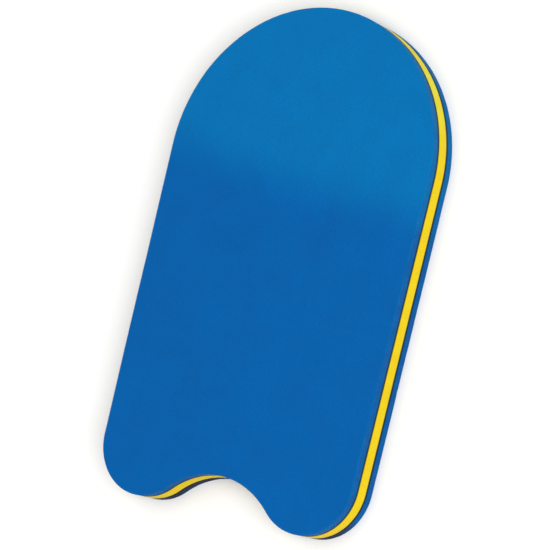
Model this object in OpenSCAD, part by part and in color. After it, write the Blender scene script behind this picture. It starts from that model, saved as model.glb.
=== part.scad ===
// Kickboard float: a flat board of closed-cell foam that a swimmer holds out in front.
// Two outer sheets and a core sheet share one outline and are bonded face to face.
// X runs across the board, Y towards the round nose and Z up through the sheets.
// The origin is the centre of the outline's box, on the face that the board lies on.

/* [Outline] */
// Length over all, from the tail lobes to the nose
board_len = 480; // [420:5:540]
// Width across the nose, the widest part of the board
board_w = 290; // [284:2:320]
// Distance from the middle line to the centre of each tail lobe
lobe_x = 91.5; // [80:0.5:91.5]
// Radius of the two round tail lobes
lobe_r = 50.5; // [42:0.5:50.5]
// Depth of the thumb notch between the lobes
notch_depth = 35.5; // [26:0.5:44]

/* [Sheets] */
// Thickness of each outer sheet
skin_t = 10.5; // [6:0.5:16]
// Thickness of the core sheet
core_t = 13.5; // [8:0.5:24]
// Thickness of the adhesive film in each joint
bond_t = 0.25; // [0.2:0.05:0.5]

/* [Colours] */
// Colour of the two outer sheets
skin_color = "#0566b0"; // [#0566b0:Blue, #c4202a:Red, #2a8c3c:Green]
// Colour of the core sheet
core_color = "#f5d60a"; // [#f5d60a:Yellow, #f2f2ee:White, #f07818:Orange]
// Colour of the adhesive films
bond_color = "#3c4a38"; // [#3c4a38:Dark, #c8b878:Amber]

/* [Hidden] */
$fn = 240;

// Centre and radius of the nose arc, and the centre of the lobe arc on the +X side
nose_r = board_w / 2;
nose_c = [0, board_len / 2 - nose_r];
lobe_c = [lobe_x, lobe_r - board_len / 2];
// The notch arc touches both lobe arcs from outside, so the edge has no corner there
notch_r = lobe_x * lobe_x / (2 * notch_depth) + notch_depth / 2 - lobe_r;
notch_c = [0, notch_depth - notch_r - board_len / 2];

// The straight side touches the nose arc and the lobe arc from the same side: side_a is
// the direction of its two touching points from the arcs' centres, counted from +X
span = lobe_c - nose_c;
side_len = sqrt(span * span - (nose_r - lobe_r) * (nose_r - lobe_r));
side_a = atan2(span[1], span[0]) + atan2(side_len, nose_r - lobe_r);
// Direction from the lobe's centre to the point where it meets the notch
join_a = atan2(notch_c[1] - lobe_c[1], notch_c[0] - lobe_c[0]);

// Arcs and straights that meet smoothly are let into each other by this much, because
// shapes that only touch don't join
lap = 0.02;
// How far a cutting shape runs past what it cuts
clear = 1;

// Heights of the joints above the face that the board lies on
lower_bond_z = skin_t;
core_z = lower_bond_z + bond_t;
upper_bond_z = core_z + core_t;
top_z = upper_bond_z + bond_t;

// The point that lies at distance r and in direction a from an arc's centre
function from_centre(c, r, a) = c + r * [cos(a), sin(a)];

// The stretch between the nose and the lobes, with the two straight sides. At the tail
// its corners lie inside the notch, which cuts them off.
module middle_outline() {
    half = [
        from_centre(nose_c, nose_r - lap, side_a),
        from_centre(lobe_c, lobe_r - lap, side_a),
        lobe_c,
        from_centre(lobe_c, lobe_r + clear, join_a)
    ];
    other_half = [for (i = [len(half) - 1 : -1 : 0]) [-half[i][0], half[i][1]]];
    polygon(concat(half, other_half));
}

// One sheet or film of the board's outline, standing on height z
module sheet(z, thickness) {
    translate([0, 0, z]) difference() {
        union() {
            linear_extrude(thickness) middle_outline();
            translate(concat(nose_c, 0)) cylinder(thickness, r = nose_r);
            for (side = [-1, 1])
                translate([side * lobe_c[0], lobe_c[1], 0]) cylinder(thickness, r = lobe_r);
        }
        translate(concat(notch_c, -clear)) cylinder(thickness + 2 * clear, r = notch_r + lap);
    }
}

module bottom_sheet() {
    color(skin_color) sheet(0, skin_t);
}

module lower_bond() {
    color(bond_color) sheet(lower_bond_z, bond_t);
}

module core_sheet() {
    color(core_color) sheet(core_z, core_t);
}

module upper_bond() {
    color(bond_color) sheet(upper_bond_z, bond_t);
}

module top_sheet() {
    color(skin_color) sheet(top_z, skin_t);
}

bottom_sheet();
lower_bond();
core_sheet();
upper_bond();
top_sheet();
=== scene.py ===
import math

import bpy
import numpy as np
from mathutils import Matrix, Vector


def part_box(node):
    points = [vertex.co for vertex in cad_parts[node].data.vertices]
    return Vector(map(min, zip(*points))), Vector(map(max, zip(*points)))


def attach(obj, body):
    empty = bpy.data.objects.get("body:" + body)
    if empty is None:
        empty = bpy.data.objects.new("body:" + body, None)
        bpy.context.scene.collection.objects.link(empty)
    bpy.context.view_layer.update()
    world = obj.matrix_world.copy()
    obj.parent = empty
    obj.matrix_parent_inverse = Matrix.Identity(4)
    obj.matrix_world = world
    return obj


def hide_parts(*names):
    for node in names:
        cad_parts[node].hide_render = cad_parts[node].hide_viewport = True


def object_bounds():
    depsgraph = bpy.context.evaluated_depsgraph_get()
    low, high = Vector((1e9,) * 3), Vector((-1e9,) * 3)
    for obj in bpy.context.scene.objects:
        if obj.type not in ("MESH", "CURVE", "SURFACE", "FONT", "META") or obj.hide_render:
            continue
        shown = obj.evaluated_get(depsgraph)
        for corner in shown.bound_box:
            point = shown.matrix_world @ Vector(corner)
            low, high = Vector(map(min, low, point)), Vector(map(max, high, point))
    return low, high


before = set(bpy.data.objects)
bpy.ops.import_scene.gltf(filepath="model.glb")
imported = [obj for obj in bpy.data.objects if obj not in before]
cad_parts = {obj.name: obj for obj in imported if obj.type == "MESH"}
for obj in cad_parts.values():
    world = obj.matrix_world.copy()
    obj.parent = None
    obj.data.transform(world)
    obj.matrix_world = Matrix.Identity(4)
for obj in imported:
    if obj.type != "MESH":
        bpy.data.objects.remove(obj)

cadLow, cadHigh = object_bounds()
print("frame loaded:", ", ".join(sorted(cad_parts)))

# All sizes are metres. The board's length, width and heights come from the frame.
board = {
    "lobeX": 0.0915,         # middle line to the centre of a tail lobe
    "lobeRadius": 0.0505,
    "notchDepth": 0.0355,
    "spineTail": -0.110,     # the faces' grid runs in to a line along the middle of the
    "spineNose": 0.092,      # board, between these two places
    "columns": 920,          # grid columns round the edge, an even number
}
cut = {
    "wander": 0.00006,       # how far the blade wandered in and out along the cut
    "wanderWaves": (4, 40),  # fewest and most waves of it round the edge
    "chatter": 0.00003,      # its finer shake, different in each sheet
    "chatterWaves": (60, 260),
    "seam": 0.0005,          # rounding of each sheet beside a glue line
    "swell": 0.0001,         # the foam's swelling between the glue lines
}


def edgeWaves(fewest, most, seed):
    # Sum of sines that close on themselves round the edge, with k waves from fewest to
    # most: sin(2 pi k s / length + phase) / (k / fewest)^0.5, scaled to about -1 to 1
    rng = np.random.default_rng(seed)
    count = 24
    k = rng.integers(fewest, most, count)
    phase = rng.uniform(0, 2 * np.pi, count)
    waves = np.sin(2 * np.pi * np.multiply.outer(edgeS / edgeLength, k) + phase)
    return (waves / np.sqrt(k / fewest)).sum(-1) / 5


def edgeRise(fewest, most, seed):
    # the same waves, kept between 0 and 1
    return np.clip((1 + edgeWaves(fewest, most, seed)) / 2, 0, 1)


def rolling(x, y, shortest, longest, seed):
    # sum of plane waves in random directions, with wavelengths from shortest to longest
    rng = np.random.default_rng(seed)
    count = 22
    wavelength = rng.uniform(shortest, longest, count)
    angle = rng.uniform(0, 2 * np.pi, count)
    phase = rng.uniform(0, 2 * np.pi, count)
    total = np.zeros_like(x)
    for i in range(count):
        run = x * math.cos(angle[i]) + y * math.sin(angle[i])
        total += np.sin(2 * np.pi * run / wavelength[i] + phase[i])
    return total / math.sqrt(count)


def boardEdge(columns):
    # Half the edge is nose arc, straight side, lobe arc and notch arc, each touching the
    # next. Distance s along it picks the piece, and the point is centre + radius * direction.
    halfLength = (cadHigh[1] - cadLow[1]) / 2
    noseR = (cadHigh[0] - cadLow[0]) / 2
    lobeR, lobeX, depth = board["lobeRadius"], board["lobeX"], board["notchDepth"]
    noseC = np.array([0, halfLength - noseR])
    lobeC = np.array([lobeX, lobeR - halfLength])
    notchR = lobeX ** 2 / (2 * depth) + depth / 2 - lobeR
    notchC = np.array([0, depth - notchR - halfLength])
    span = lobeC - noseC
    sideLength = math.sqrt(span @ span - (noseR - lobeR) ** 2)
    sideA = math.atan2(span[1], span[0]) + math.atan2(sideLength, noseR - lobeR)
    joinA = math.atan2(notchC[1] - lobeC[1], notchC[0] - lobeC[0])
    ends = np.cumsum([noseR * (math.pi / 2 - sideA), sideLength,
                      lobeR * (sideA - joinA), notchR * (-math.pi / 2 - joinA)])
    half = ends[-1]
    s = np.arange(columns) * 2 * half / columns
    r = np.where(s <= half, s, 2 * half - s)
    side = np.where(s <= half, 1.0, -1.0)
    piece = [r <= ends[0], r <= ends[1], r <= ends[2], r > ends[2]]
    angle = np.select(piece, [math.pi / 2 - r / noseR, np.full_like(r, sideA),
                              sideA - (r - ends[1]) / lobeR,
                              joinA + math.pi + (r - ends[2]) / notchR])
    outwards = np.select(piece, [1.0, 1.0, 1.0, -1.0])
    radius = np.select(piece, [noseR, noseR, lobeR, notchR])
    centreX = np.select(piece, [0.0, 0.0, lobeC[0], 0.0])
    centreY = np.select(piece, [noseC[1], noseC[1], lobeC[1], notchC[1]])
    down = np.where(piece[1] & ~piece[0], r - ends[0], 0.0)
    x = side * (centreX + radius * np.cos(angle) + down * math.sin(sideA))
    y = centreY + radius * np.sin(angle) - down * math.cos(sideA)
    normal = np.stack([side * outwards * np.cos(angle), outwards * np.sin(angle)], -1)
    return np.stack([x, y], -1), normal, s, 2 * half


edgePoint, edgeNormal, edgeS, edgeLength = boardEdge(board["columns"])
column = np.arange(board["columns"])
twin = np.minimum(column, -column % board["columns"])  # the same place on the +X side
spineY = np.clip(edgePoint[twin, 1], board["spineTail"], board["spineNose"])
spine = np.stack([0 * spineY, spineY], -1)
cutInset = cut["wander"] * edgeRise(*cut["wanderWaves"], 5)
print("edge:", board["columns"], "columns over", round(edgeLength, 4), "m")

outerSheet = {
    "isCore": False,
    "arris": 0.0006,         # rounding of the edge that hands touch
    "margin": 0.012,         # width of the strip along the edge, before the face's grid
    "soak": 0.0022,          # how far glue has soaked into the cut beside its line
    "tailShade": 0.0,           # how strongly the cut wall gets painted shade where it faces the tail
    "rubWidth": 0.0016,      # how far from the arris it is rubbed
    "faceRows": 36, "hiddenRows": 6, "wallRows": 12, "arcRows": 7, "marginRows": 7,
    "rise": 0.0001,          # long waves of the moulded face, and their lengths
    "riseLengths": (0.05, 0.16),
    "ripple": 0.00002,       # short waves of the moulded face, and their lengths
    "rippleLengths": (0.011, 0.03),
    "crest": 2.2,            # wave height that just reaches the flat face
    "nicks": 9,              # small dents knocked into the arris
    "nickDepth": 0.00028,
    "nickInwards": 0.8,      # the part of a nick's depth that goes in from the edge
    "nickDown": 0.6,         # and the part that goes down from the face
    "nickLength": 0.0026,
    "presses": 7,            # shallow dents left in the face
    "pressAcross": (-0.11, 0.11),
    "pressAlong": (-0.19, 0.2),
    "pressDepth": 0.00014,
    "pressRadius": 0.008,
}
# the bottom sheet's cut wall gets painted shade where it faces the tail
lowerSheet = {**outerSheet, "tailShade": 1.0}
tailShadeFacing = (0.5, 0.82)   # how squarely an edge faces the tail, from no painted shade to full painted shade
marginCrowding = 1.6         # crowds the margin's rows towards the edge
coreSheet = {
    "isCore": True,
    "arris": cut["seam"],    # both of its edges lie at a glue line
    "margin": 0.012,
    "soak": 0.0005,
    "tailShade": 0.0,
    "faceRows": 6, "hiddenRows": 6, "wallRows": 14, "arcRows": 7, "marginRows": 3,
}


def quarterTurn(rows):
    # sine and cosine of a quarter turn, without its first point
    a = np.linspace(0, np.pi / 2, rows + 1)[1:]
    return np.sin(a), np.cos(a)


def knocked(size, atArris, rng):
    # nicks along the arris: a sum of bell curves exp(-(gap / wide)^2) round the edge
    knock = np.zeros((len(atArris), len(edgeS)))
    for i in range(size["nicks"]):
        gap = (edgeS - rng.uniform(0, edgeLength) + edgeLength / 2) % edgeLength - edgeLength / 2
        wide = size["nickLength"] * rng.uniform(0.4, 1.3)
        knock += rng.uniform(0.25, 1) * np.exp(-(gap / wide) ** 2) * atArris[:, None] ** 2
    return size["nickDepth"] * knock


def mouldedWaves(size, x, y, seed, rng):
    # how far the moulded face lies below flat: rolling waves, and round dents
    crest = size["crest"]
    waves = (size["rise"] * (rolling(x, y, *size["riseLengths"], seed) - crest)
             + size["ripple"] * (rolling(x, y, *size["rippleLengths"], seed + 1) - crest))
    for i in range(size["presses"]):
        across, along = rng.uniform(*size["pressAcross"]), rng.uniform(*size["pressAlong"])
        far = (x - across) ** 2 + (y - along) ** 2
        depth = size["pressDepth"] * rng.uniform(0.3, 1)
        waves -= depth * np.exp(-far / (size["pressRadius"] * rng.uniform(0.4, 1.2)) ** 2)
    return np.minimum(waves, 0)


def sheetSurface(size, high, seed):
    # One closed surface over (row, column), from height 0 to high. A row is a distance in
    # from the edge and a height: along the hidden face, round the seam, up the wall, round
    # the arris and in along the outer face, then from the margin to the spine.
    a, b, m, isCore = size["arris"], cut["seam"], size["margin"], size["isCore"]
    rng = np.random.default_rng(seed)
    sinA, cosA = quarterTurn(size["arcRows"])
    wallZ = np.linspace(b, high - a, size["wallRows"] + 1)[1:]
    strip = np.linspace(0, 1, size["marginRows"] + 1)[1:] ** marginCrowding
    inset = np.concatenate([[m, m / 2, b], b * (1 - sinA), 0 * wallZ,
                            a * (1 - cosA), a + (m - a) * strip])
    z = np.concatenate([[0, 0, 0], b * (1 - cosA), wallZ, high - a * (1 - sinA),
                        high + 0 * strip])
    # the masks that the materials read, each from 0 to 1
    onWall = np.ones_like(z)
    onWall[-len(strip) - len(cosA):] = np.concatenate([cosA, 0 * strip])
    toArris = np.where(z > high - 3 * a, high - a / 2 - z, high)
    toArris[-len(strip):] = inset[-len(strip):]
    atArris = 0 * z if isCore else np.exp(-(toArris / size["rubWidth"]) ** 2)
    toGlue = np.minimum(z, high - z) if isCore else z
    glued = np.exp(-(toGlue / size["soak"]) ** 4)
    # painted shade on the cut wall, growing as the edge faces the tail
    unshadedTo, shadedTo = tailShadeFacing
    tailward = np.clip((-edgeNormal[:, 1] - unshadedTo) / (shadedTo - unshadedTo), 0, 1)
    masks = {"onWall": onWall[:, None], "atArris": atArris[:, None], "glued": glued[:, None],
             "tailShade": size["tailShade"] * np.multiply.outer(onWall, tailward)}
    # the blade's wander and shake, and the foam's swelling away from its glue lines
    swell = (2 * z / high - 1) ** 2 if isCore else (1 - z / high) ** 3
    shake = cut["chatter"] * edgeRise(*cut["chatterWaves"], seed)
    inset = inset[:, None] + cutInset + shake + cut["swell"] * swell[:, None]
    z = z[:, None] + 0 * edgeS
    if not isCore:
        knock = knocked(size, atArris, rng)
        inset += size["nickInwards"] * knock
        z -= size["nickDown"] * knock
    # the rows along the edge, then both faces in to the spine
    ring = edgePoint - edgeNormal * inset[..., None]
    inward = np.linspace(0, 1, size["faceRows"] + 1)[1:, None, None]
    hidden = np.linspace(1, 0, size["hiddenRows"] + 1)[:-1, None, None]
    face = ring[-1] * (1 - inward) + spine * inward
    under = ring[0] * (1 - hidden) + spine * hidden
    xy = np.concatenate([under, ring, face])
    z = np.concatenate([0 * under[..., 0], z, high + 0 * face[..., 0]])
    if not isCore:
        outer = np.clip((z - high / 2) / (high / 2 - a), 0, 1)
        z = z + outer * mouldedWaves(size, xy[..., 0], xy[..., 1], seed, rng)
    faces = ((len(under), len(face)), (0, 0))
    masks = {label: np.pad(mask + 0 * edgeS, faces) for label, mask in masks.items()}
    return np.concatenate([xy, z[..., None]], -1), masks


bondFilm = {
    "margin": 0.012,
    "fill": 0.00012,         # how far below the cut the squeezed-out bead stops
    "uneven": 0.00007,       # how unevenly the glue was pressed out
    "unevenWaves": (30, 240),
    "crown": 0.00004,        # how far the bead's front bulges
    "slack": 0.97,           # the part of the groove that the bead fills
}


def filmSurface(low, high, seed):
    # A flat film that ends in a bead. In the groove between the rounded sheets, at distance
    # d in from the cut, each side of the bead stands b - (b^2 - (b - d)^2)^0.5 off the film.
    b = cut["seam"]
    waves = np.clip(edgeWaves(*bondFilm["unevenWaves"], seed), -1, 1)
    front = bondFilm["fill"] + bondFilm["uneven"] * waves
    d = b + (front - b) * np.array([0, 0.35, 0.7, 0.9, 1.0])[:, None]
    stand = bondFilm["slack"] * (b - np.sqrt(b * b - (b - d) ** 2))
    flat = 0 * front[None]
    middle = flat + (low + high) / 2
    inset = np.concatenate([flat + bondFilm["margin"], d, front[None] - bondFilm["crown"],
                            d[::-1], flat + bondFilm["margin"]])
    inset = inset + cutInset + cut["swell"] + cut["chatter"] / 2
    z = np.concatenate([flat + low, low - stand, middle, high + stand[::-1], flat + high])
    ring = edgePoint - edgeNormal * inset[..., None]
    xy = np.concatenate([spine[None], ring, spine[None]])
    z = np.concatenate([z[:1], z, z[-1:]])
    return np.concatenate([xy, z[..., None]], -1)


def meshFromGrid(name, grid, masks, turnedOver):
    # Rows by columns of points, closed round the columns. The first and last rows lie on
    # the spine, where columns that share a place are one point, so the two sides join.
    rows, columns = grid.shape[:2]
    _, first, place = np.unique(spineY, return_index=True, return_inverse=True)
    count, inner = len(first), (rows - 2) * columns
    index = np.concatenate([place[None], count + np.arange(inner).reshape(-1, columns),
                            count + inner + place[None]])
    points = np.concatenate([grid[0, first], grid[1:-1].reshape(-1, 3), grid[-1, first]])
    nextColumn = np.roll(index, -1, 1)
    quads = np.stack([index[:-1], index[1:], nextColumn[1:], nextColumn[:-1]], -1)
    start = np.broadcast_to(edgeS, quads.shape[:2])
    end = start + edgeLength / columns
    along = np.stack([start, start, end, end], -1).reshape(-1, 4)
    quads = quads.reshape(-1, 4)
    if turnedOver:
        quads, along = quads[:, ::-1], along[:, ::-1]
    # a quad with two corners on one spine point becomes a triangle
    whole = (quads != np.roll(quads, 1, 1)).all(1)
    halves = np.array([[0, 1, 2], [0, 2, 3]])
    triangles = quads[~whole][:, halves].reshape(-1, 3)
    kept = (triangles != np.roll(triangles, 1, 1)).all(1)
    triangles = triangles[kept]
    alongTriangles = along[~whole][:, halves].reshape(-1, 3)[kept]
    mesh = bpy.data.meshes.new(name)
    mesh.from_pydata(points.tolist(), [], quads[whole].tolist() + triangles.tolist())
    for label, mask in masks.items():
        values = np.concatenate([mask[0, first], mask[1:-1].ravel(), mask[-1, first]])
        layer = mesh.attributes.new(label, "FLOAT", "POINT")
        layer.data.foreach_set("value", values.astype(np.float32))
    # the cut edge's own map: distance round the edge, and height
    corners = np.concatenate([quads[whole].ravel(), triangles.ravel()])
    u = np.concatenate([along[whole].ravel(), alongTriangles.ravel()])
    uv = np.stack([u, points[corners, 2]], -1).astype(np.float32)
    mesh.uv_layers.new(name="cutEdge").data.foreach_set("uv", uv.ravel())
    mesh.polygons.foreach_set("use_smooth", np.ones(len(mesh.polygons), bool))
    mesh.update()
    piece = bpy.data.objects.new(name, mesh)
    bpy.context.scene.collection.objects.link(piece)
    return piece


def newGroup(name, inputs, outputs):
    group = bpy.data.node_groups.new(name, "ShaderNodeTree")
    for label, kind, value in inputs:
        socket = group.interface.new_socket(label, in_out="INPUT", socket_type=kind)
        if value is not None:
            socket.default_value = value
    for label in outputs:
        group.interface.new_socket(label, in_out="OUTPUT", socket_type="NodeSocketFloat")
    return group, group.nodes.new("NodeGroupInput"), group.nodes.new("NodeGroupOutput")


def feed(tree, socket, source):
    # links a socket to another socket, or sets it to a plain value
    if isinstance(source, bpy.types.NodeSocket):
        tree.links.new(source, socket)
    else:
        socket.default_value = source


def addNode(tree, kind, sockets=None, **settings):
    # makes a node, sets what settings name, and feeds the sockets
    node = tree.nodes.new(kind)
    for label, value in settings.items():
        setattr(node, label, value)
    for label, source in (sockets or {}).items():
        feed(tree, node.inputs[label], source)
    return node


def placeGroup(tree, group, sockets):
    node = tree.nodes.new("ShaderNodeGroup")
    node.node_tree = group
    for label, source in sockets.items():
        feed(tree, node.inputs[label], source)
    return node


def maths(tree, operation, a, b, c=0.0):
    return addNode(tree, "ShaderNodeMath", {0: a, 1: b, 2: c}, operation=operation).outputs[0]


def remap(tree, value, low, high, toLow=0.0, toHigh=1.0):
    sockets = {"Value": value, "From Min": low, "From Max": high,
               "To Min": toLow, "To Max": toHigh}
    node = addNode(tree, "ShaderNodeMapRange", sockets, interpolation_type="SMOOTHSTEP")
    return node.outputs["Result"]


def mixColor(tree, factor, a, b, blend="MIX"):
    node = addNode(tree, "ShaderNodeMix", data_type="RGBA", blend_type=blend)
    for index, source in ((0, factor), (6, a), (7, b)):
        feed(tree, node.inputs[index], source)
    return node.outputs[2]


def noise(tree, vector, scale, detail, roughness=0.5, distortion=0.0):
    node = addNode(tree, "ShaderNodeTexNoise", {"Vector": vector, "Scale": scale, "Detail": detail,
                                                "Roughness": roughness,
                                                "Distortion": distortion})
    return node.outputs["Fac"]


def stretched(tree, vector, scale, turn=0.0):
    node = addNode(tree, "ShaderNodeMapping", {"Vector": vector, "Scale": scale,
                                               "Rotation": (0.0, 0.0, turn)})
    return node.outputs["Vector"]


def randomOf(tree, cells):
    # a random number for each cell of a Voronoi texture
    node = addNode(tree, "ShaderNodeSeparateColor", {"Color": cells.outputs["Color"]})
    return node.outputs["Red"]


skinLook = {
    "grainPerMetre": 1100.0,
    "smoothness": 0.25,      # how softly one pebble runs into the next
    "valleys": (0.3, 0.8),   # from a pebble's top to the bottom between pebbles
    "grainHeight": 0.6,
    "softPerMetre": 420.0,   # softer unevenness under the grain
    "softHeight": 0.7,
    "pinholesPerMetre": 190.0,
    "pinholesLeftOut": 0.55,
    "pinholeRim": (0.03, 0.11),
    "pinholeHeight": -0.9,
    "mottlePerMetre": 26.0,  # clouds of slightly darker and lighter dye
}
cutLook = {
    "cellsPerMetre": 1500.0,
    "wallWidth": (0.02, 0.16),
    "wallHeight": 0.45,
    "burstPerMetre": 430.0,  # larger cells, torn open
    "burstLeftOut": 0.8,
    "burstRim": (0.12, 0.3),
    "burstHeight": -0.8,
    "bladeMarks": (950.0, 45.0, 1.0),    # upright marks, per metre along and up the edge
    "bladePatches": (70.0, 6.0, 1.0),    # the patches where they show
    "markHeight": 0.9,
}
wearLook = {
    "rubPerMetre": 60.0,     # ragged patches of rubbing
    "rubEdge": (0.42, 0.68),
    "scuffStretch": (7.0, 520.0, 7.0),
    "scuffTurn": 0.62,
    "scuffLines": (0.66, 0.74),
    "scuffPatchesPerMetre": 9.0,
    "scuffPatches": (0.52, 0.70),
}


def makeMouldedSkin():
    # The closed skin of a moulded foam face: fine pebbled grain with sparse pinholes
    g, given, out = newGroup("mouldedSkin",
                             [("Vector", "NodeSocketVector", None),
                              ("Grain per metre", "NodeSocketFloat", skinLook["grainPerMetre"]),
                              ("Pinholes per metre", "NodeSocketFloat",
                               skinLook["pinholesPerMetre"])],
                             ["Height", "Valleys", "Pinholes", "Mottle"])
    spot = given.outputs["Vector"]
    grain = addNode(g, "ShaderNodeTexVoronoi", {"Vector": spot,
                                                "Smoothness": skinLook["smoothness"],
                                                "Scale": given.outputs["Grain per metre"]},
                    feature="SMOOTH_F1").outputs["Distance"]
    hole = addNode(g, "ShaderNodeTexVoronoi", {"Vector": spot,
                                               "Scale": given.outputs["Pinholes per metre"]},
                   feature="F1")
    rare = maths(g, "GREATER_THAN", randomOf(g, hole), skinLook["pinholesLeftOut"])
    dot = remap(g, hole.outputs["Distance"], *skinLook["pinholeRim"], 1.0, 0.0)
    pinholes = maths(g, "MULTIPLY", rare, dot)
    soft = maths(g, "MULTIPLY", noise(g, spot, skinLook["softPerMetre"], 3.0),
                 skinLook["softHeight"])
    height = maths(g, "MULTIPLY_ADD", maths(g, "SUBTRACT", 1.0, grain),
                   skinLook["grainHeight"], soft)
    height = maths(g, "MULTIPLY_ADD", pinholes, skinLook["pinholeHeight"], height)
    feed(g, out.inputs["Height"], height)
    feed(g, out.inputs["Valleys"], remap(g, grain, *skinLook["valleys"]))
    feed(g, out.inputs["Pinholes"], pinholes)
    feed(g, out.inputs["Mottle"], noise(g, spot, skinLook["mottlePerMetre"], 5.0, 0.6))
    return g


def makeCutCells():
    # A cut foam edge: open cells with thin walls between them, and upright blade marks
    g, given, out = newGroup("cutCells",
                             [("Vector", "NodeSocketVector", None),
                              ("Edge", "NodeSocketVector", None),
                              ("Cells per metre", "NodeSocketFloat", cutLook["cellsPerMetre"])],
                             ["Height", "Walls", "Marks"])
    spot, edge = given.outputs["Vector"], given.outputs["Edge"]
    cells = addNode(g, "ShaderNodeTexVoronoi", {"Vector": spot,
                                                "Scale": given.outputs["Cells per metre"]},
                    feature="DISTANCE_TO_EDGE")
    walls = remap(g, cells.outputs["Distance"], *cutLook["wallWidth"], 1.0, 0.0)
    coarse = addNode(g, "ShaderNodeTexVoronoi", {"Vector": spot,
                                                 "Scale": cutLook["burstPerMetre"]}, feature="F1")
    rare = maths(g, "GREATER_THAN", randomOf(g, coarse), cutLook["burstLeftOut"])
    burst = maths(g, "MULTIPLY", rare,
                  remap(g, coarse.outputs["Distance"], *cutLook["burstRim"], 1.0, 0.0))
    blade = noise(g, stretched(g, edge, cutLook["bladeMarks"]), 1.0, 3.0, 0.6)
    patches = noise(g, stretched(g, edge, cutLook["bladePatches"]), 1.0, 2.0)
    marks = maths(g, "MULTIPLY", blade, patches)
    height = maths(g, "MULTIPLY_ADD", walls, cutLook["wallHeight"],
                   maths(g, "MULTIPLY", marks, cutLook["markHeight"]))
    height = maths(g, "MULTIPLY_ADD", burst, cutLook["burstHeight"], height)
    feed(g, out.inputs["Height"], height)
    feed(g, out.inputs["Walls"], walls)
    feed(g, out.inputs["Marks"], marks)
    return g


def makeHandWear():
    # Rubbing by hands and pool edges: patchy along the arris, and faint scuffs on the face
    g, given, out = newGroup("handWear",
                             [("Vector", "NodeSocketVector", None),
                              ("Arris", "NodeSocketFloat", 0.0)], ["Rub", "Scuffs"])
    spot = given.outputs["Vector"]
    ragged = remap(g, noise(g, spot, wearLook["rubPerMetre"], 6.0, 0.65), *wearLook["rubEdge"])
    feed(g, out.inputs["Rub"], maths(g, "MULTIPLY", ragged, given.outputs["Arris"]))
    slanted = stretched(g, spot, wearLook["scuffStretch"], wearLook["scuffTurn"])
    lines = remap(g, noise(g, slanted, 1.0, 2.0, 0.5, 0.25), *wearLook["scuffLines"])
    where = remap(g, noise(g, spot, wearLook["scuffPatchesPerMetre"], 2.0),
                  *wearLook["scuffPatches"])
    feed(g, out.inputs["Scuffs"], maths(g, "MULTIPLY", lines, where))
    return g


mouldedSkin, cutCells, handWear = makeMouldedSkin(), makeCutCells(), makeHandWear()

skinFoam = {
    "deep": (0.0006, 0.0985, 0.340, 1),    # the dye over most of the board
    "noseLitBlue": (0.0006, 0.1440, 0.392, 1),    # painted light: paler towards the nose
    "noseLightFrom": 0.0439, "noseLightTo": 0.1098,  # places along the middle between which the painted light comes in
    "noseLightSlope": 0.1275,                   # how far the painted light runs aslant across the board
    "noseLightDrift": 0.02,                     # how unevenly it starts
    "driftPerMetre": 9.0,
    "mottle": (0.965, 1.035),              # darkest and lightest cloud
    "hole": (0.0003, 0.034, 0.125, 1),
    "valleyShare": 0.16,                   # shares of a colour where its mask is full
    "pinholeShare": 0.5,
    "markShare": 0.3,
    "markFade": (0.1, 0.5),
    "rubbed": (0.004, 0.165, 0.430, 1),
    "scuffShare": 0.12,
    "cellShare": 0.25,
    "rubShare": 0.25,
    "glued": (0.0015, 0.010, 0.020, 1),
    "gluedShare": 0.92,
    # painted shade: near-black on the lower cut wall where it faces the tail
    "tailShadeColor": (0.016, 0.007, 0.006, 1),
    "tailShadeShare": 0.92,
    "tailShadePatches": (60.0, 200.0, 1.0),     # per metre along and up the edge
    "tailShadeFade": (0.3, 0.55),
    "tailShadeThin": 0.6,                       # how much of it is left between its patches
    "specular": 0.04,
    "roughness": (0.46, 0.62),
    "grain": 0.00016,                      # relief of the moulded face
    "cells": 0.00014,                      # relief of the cut
}
coreFoam = {
    "dye": (0.735, 0.535, 0.0025, 1),
    "noseLitYellow": (0.712, 0.700, 0.030, 1),     # painted light: paler and greener towards the nose
    "yellowLightFrom": 0.10, "yellowLightTo": 0.20,
    "wallTint": (0.80, 0.66, 0.012, 1),
    "wallShare": 0.35,
    "shadeTint": (0.63, 0.41, 0.001, 1),
    "cloudShare": 0.35,
    "cloudFade": (0.35, 0.75),
    "cloudsPerMetre": 38.0,
    "markShare": 0.3,
    "markFade": (0.08, 0.4),
    "glued": (0.020, 0.026, 0.004, 1),
    "gluedShare": 0.85,
    "specular": 0.04,
    "sheen": 0.10,
    "sheenRoughness": 0.35,
    "roughness": (0.60, 0.76),
    "cellsPerMetre": 1250.0,
    "cells": 0.00016,
}
glueLine = {
    "dark": (0.006, 0.010, 0.008, 1),
    "amber": (0.035, 0.030, 0.012, 1),
    "blotches": (260.0, 900.0, 1.0),       # per metre along and up the edge
    "blotchFade": (0.4, 0.7),
    "specular": 0.3,
    "roughness": (0.35, 0.6),
    "relief": 0.00005,
}
noiseSpan = (0.3, 0.7)  # where most of a noise's values lie


def newMaterial(name, specular):
    material = bpy.data.materials.new(name)
    material.use_nodes = True
    shader = material.node_tree.nodes["Principled BSDF"]
    shader.inputs["Specular IOR Level"].default_value = specular
    return material, material.node_tree, shader


def objectSpot(tree):
    return addNode(tree, "ShaderNodeTexCoord").outputs["Object"]


def edgeMap(tree):
    return addNode(tree, "ShaderNodeUVMap", uv_map="cutEdge").outputs["UV"]


def attribute(tree, label):
    return addNode(tree, "ShaderNodeAttribute", attribute_name=label).outputs["Fac"]


def part(tree, mask, amount):
    return maths(tree, "MULTIPLY", mask, amount)


def lacking(tree, mask, ramp, share):
    # the share where the mask is low, and none of it where the mask is high
    return remap(tree, mask, *ramp, share, 0.0)


def feedRoughness(tree, shader, mask, values):
    feed(tree, shader.inputs["Roughness"], remap(tree, mask, *noiseSpan, *values))


def feedBump(tree, shader, height):
    # the height is in metres
    bump = addNode(tree, "ShaderNodeBump", {"Height": height, "Distance": 1.0, "Strength": 1.0})
    feed(tree, shader.inputs["Normal"], bump.outputs["Normal"])


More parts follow.
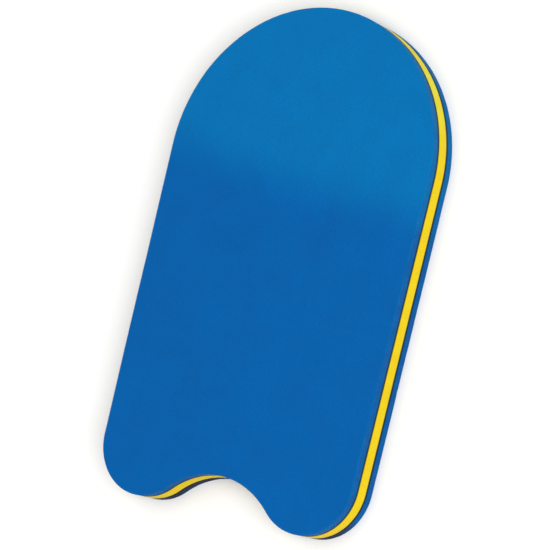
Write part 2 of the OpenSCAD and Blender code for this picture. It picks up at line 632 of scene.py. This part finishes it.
def makeSkinFoam():
    material, tree, shader = newMaterial("skinFoam", skinFoam["specular"])
    spot = objectSpot(tree)
    onWall = attribute(tree, "onWall")
    skin = placeGroup(tree, mouldedSkin, {"Vector": spot}).outputs
    cells = placeGroup(tree, cutCells, {"Vector": spot, "Edge": edgeMap(tree)}).outputs
    worn = placeGroup(tree, handWear, {"Vector": spot,
                                       "Arris": attribute(tree, "atArris")}).outputs
    # the dye, with painted light making it paler towards the nose, on a slant
    axes = addNode(tree, "ShaderNodeSeparateXYZ", {"Vector": spot}).outputs
    aslant = maths(tree, "MULTIPLY_ADD", axes["X"], skinFoam["noseLightSlope"], axes["Y"])
    drift = maths(tree, "SUBTRACT", noise(tree, spot, skinFoam["driftPerMetre"], 2.0), 0.5)
    drifted = maths(tree, "MULTIPLY_ADD", drift, skinFoam["noseLightDrift"], aslant)
    ramp = remap(tree, drifted, skinFoam["noseLightFrom"], skinFoam["noseLightTo"])
    dye = mixColor(tree, ramp, skinFoam["deep"], skinFoam["noseLitBlue"])
    tone = remap(tree, skin["Mottle"], *noiseSpan, *skinFoam["mottle"])
    grey = addNode(tree, "ShaderNodeCombineColor", {"Red": tone, "Green": tone, "Blue": tone})
    dye = mixColor(tree, 1.0, dye, grey.outputs["Color"], "MULTIPLY")
    dye = mixColor(tree, part(tree, skin["Valleys"], skinFoam["valleyShare"]), dye,
                   skinFoam["hole"])
    dye = mixColor(tree, part(tree, skin["Pinholes"], skinFoam["pinholeShare"]), dye,
                   skinFoam["hole"])
    dye = mixColor(tree, part(tree, worn["Scuffs"], skinFoam["scuffShare"]), dye,
                   skinFoam["rubbed"])
    # the cut wall shows its cells, the blade's marks, the glue soaked in, and painted shade where
    # it faces the tail
    wall = mixColor(tree, part(tree, cells["Walls"], skinFoam["cellShare"]), dye,
                    skinFoam["rubbed"])
    wall = mixColor(tree, lacking(tree, cells["Marks"], skinFoam["markFade"],
                                  skinFoam["markShare"]), wall, skinFoam["hole"])
    wall = mixColor(tree, part(tree, attribute(tree, "glued"), skinFoam["gluedShare"]), wall,
                    skinFoam["glued"])
    # painted shade, in patches, on the lower cut wall where it faces the tail
    patches = noise(tree, stretched(tree, edgeMap(tree), skinFoam["tailShadePatches"]), 1.0, 4.0)
    tailShade = maths(tree, "MULTIPLY", attribute(tree, "tailShade"),
                   remap(tree, patches, *skinFoam["tailShadeFade"], skinFoam["tailShadeThin"], 1.0))
    wall = mixColor(tree, part(tree, tailShade, skinFoam["tailShadeShare"]), wall, skinFoam["tailShadeColor"])
    dye = mixColor(tree, onWall, dye, wall)
    dye = mixColor(tree, part(tree, worn["Rub"], skinFoam["rubShare"]), dye, skinFoam["rubbed"])
    feed(tree, shader.inputs["Base Color"], dye)
    feedRoughness(tree, shader, skin["Mottle"], skinFoam["roughness"])
    # grain on the face, cells on the wall
    relief = addNode(tree, "ShaderNodeMix", data_type="FLOAT")
    for index, source in ((0, onWall), (2, part(tree, skin["Height"], skinFoam["grain"])),
                          (3, part(tree, cells["Height"], skinFoam["cells"]))):
        feed(tree, relief.inputs[index], source)
    feedBump(tree, shader, relief.outputs[0])
    return material


def makeCoreFoam():
    material, tree, shader = newMaterial("coreFoam", coreFoam["specular"])
    shader.inputs["Sheen Weight"].default_value = coreFoam["sheen"]
    shader.inputs["Sheen Roughness"].default_value = coreFoam["sheenRoughness"]
    spot = objectSpot(tree)
    cells = placeGroup(tree, cutCells, {"Vector": spot, "Edge": edgeMap(tree),
                                        "Cells per metre": coreFoam["cellsPerMetre"]}).outputs
    cloud = noise(tree, spot, coreFoam["cloudsPerMetre"], 5.0, 0.6)
    # painted light: the yellow paler and greener towards the nose
    along = addNode(tree, "ShaderNodeSeparateXYZ", {"Vector": spot}).outputs["Y"]
    ramp = remap(tree, along, coreFoam["yellowLightFrom"], coreFoam["yellowLightTo"])
    dye = mixColor(tree, ramp, coreFoam["dye"], coreFoam["noseLitYellow"])
    clouded = remap(tree, cloud, *coreFoam["cloudFade"], 0.0, coreFoam["cloudShare"])
    dye = mixColor(tree, clouded, dye, coreFoam["shadeTint"])
    dye = mixColor(tree, part(tree, cells["Walls"], coreFoam["wallShare"]), dye,
                   coreFoam["wallTint"])
    dye = mixColor(tree, lacking(tree, cells["Marks"], coreFoam["markFade"],
                                 coreFoam["markShare"]), dye, coreFoam["shadeTint"])
    dye = mixColor(tree, part(tree, attribute(tree, "glued"), coreFoam["gluedShare"]), dye,
                   coreFoam["glued"])
    feed(tree, shader.inputs["Base Color"], dye)
    feedRoughness(tree, shader, cloud, coreFoam["roughness"])
    feedBump(tree, shader, part(tree, cells["Height"], coreFoam["cells"]))
    return material


def makeGlueLine():
    material, tree, shader = newMaterial("glueLine", glueLine["specular"])
    blotch = noise(tree, stretched(tree, edgeMap(tree), glueLine["blotches"]), 1.0, 4.0)
    dye = mixColor(tree, remap(tree, blotch, *glueLine["blotchFade"]), glueLine["dark"],
                   glueLine["amber"])
    feed(tree, shader.inputs["Base Color"], dye)
    feedRoughness(tree, shader, blotch, glueLine["roughness"])
    feedBump(tree, shader, part(tree, blotch, glueLine["relief"]))
    return material


materials = {"skin_foam": makeSkinFoam(), "core_foam": makeCoreFoam(),
             "bond_film": makeGlueLine()}
print("materials:", ", ".join(m.name for m in materials.values()))


def finishPiece(piece, node, slot):
    piece.data.materials.append(materials[slot])
    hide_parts(node)
    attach(piece, "root")
    print("piece:", piece.name, len(piece.data.polygons), "faces")


def heights(node):
    low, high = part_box(node)
    return low[2], high[2]


def makeSheet(name, node, size, slot, seed, turnedOver=False):
    low, high = heights(node)
    grid, labels = sheetSurface(size, high - low, seed)
    grid[..., 2] = high - grid[..., 2] if turnedOver else low + grid[..., 2]
    piece = meshFromGrid(name, grid, labels, turnedOver)
    finishPiece(piece, node, slot)


def makeFilm(name, node, seed):
    low, high = heights(node)
    finishPiece(meshFromGrid(name, filmSurface(low, high, seed), {}, False), node, "bond_film")


makeSheet("bottomSheet", "bottom_sheet", lowerSheet, "skin_foam", 31, turnedOver=True)
makeFilm("lowerBond", "lower_bond", 41)
makeSheet("coreSheet", "core_sheet", coreSheet, "core_foam", 51)
makeFilm("upperBond", "upper_bond", 61)
makeSheet("topSheet", "top_sheet", outerSheet, "skin_foam", 71)

studio = {
    "floorColor": (0.90, 0.90, 0.90, 1),
    "floorHalf": 9.0,
    "floorSpecular": 0.1,
    "floorRoughness": 0.85,
    "floorDrop": 0.0002,     # keeps the floor's face clear of the board's
    "world": 0.72,
    "keyPower": 68.0, "keySize": 2.0, "keyPlace": (2.4, -0.5, 2.3),
    "overheadPower": 15.0, "overheadSize": 2.4, "overheadPlace": (0.0, 0.2, 3.0),
}
view = {
    "azimuth": 82.162,       # turned from looking along +Y, towards looking along -X
    "elevation": 54.712,
    "roll": -70.097,
    "distance": 2.4169,
    "aim": (-0.01223, -0.01158, 0.00746),
    "lens": 170.05,
}


def makeFloor():
    half, z = studio["floorHalf"], -studio["floorDrop"]
    mesh = bpy.data.meshes.new("floor")
    mesh.from_pydata([(-half, -half, z), (half, -half, z), (half, half, z), (-half, half, z)],
                     [], [(0, 1, 2, 3)])
    floor = bpy.data.objects.new("floor", mesh)
    bpy.context.scene.collection.objects.link(floor)
    material, tree, shader = newMaterial("paleFloor", studio["floorSpecular"])
    shader.inputs["Base Color"].default_value = studio["floorColor"]
    shader.inputs["Roughness"].default_value = studio["floorRoughness"]
    mesh.materials.append(material)


def makeLight(name):
    # a round soft light that faces the middle of the board
    lamp = bpy.data.lights.new(name, "AREA")
    lamp.shape = "DISK"
    lamp.energy = studio[name + "Power"]
    lamp.size = studio[name + "Size"]
    light = bpy.data.objects.new(name, lamp)
    light.location = studio[name + "Place"]
    light.rotation_euler = (-Vector(studio[name + "Place"])).to_track_quat("-Z", "Y").to_euler()
    bpy.context.scene.collection.objects.link(light)


def makeWorld():
    world = bpy.data.worlds.new("studio")
    world.use_nodes = True
    sky = world.node_tree.nodes["Background"]
    sky.inputs["Color"].default_value = (1.0, 1.0, 1.0, 1)
    sky.inputs["Strength"].default_value = studio["world"]
    bpy.context.scene.world = world


def makeCamera():
    # the camera sits on a sphere round its aim: its back axis is the direction out to it
    azimuth, elevation = math.radians(view["azimuth"]), math.radians(view["elevation"])
    back = Vector((math.sin(azimuth) * math.cos(elevation),
                   -math.cos(azimuth) * math.cos(elevation), math.sin(elevation)))
    level = Vector((math.cos(azimuth), math.sin(azimuth), 0))
    turn = Matrix.Rotation(math.radians(view["roll"]), 3, back)
    basis = Matrix((turn @ level, turn @ back.cross(level), back)).transposed().to_4x4()
    data = bpy.data.cameras.new("camera")
    data.sensor_width = 36.0
    data.lens = view["lens"]
    data.clip_end = 60.0
    camera = bpy.data.objects.new("camera", data)
    camera.matrix_world = Matrix.Translation(Vector(view["aim"]) + back * view["distance"]) @ basis
    bpy.context.scene.collection.objects.link(camera)
    bpy.context.scene.camera = camera


makeFloor()
makeWorld()
makeLight("key")
makeLight("overhead")
makeCamera()
bpy.context.scene.view_settings.view_transform = "Standard"
print("stage: floor, lights and camera")
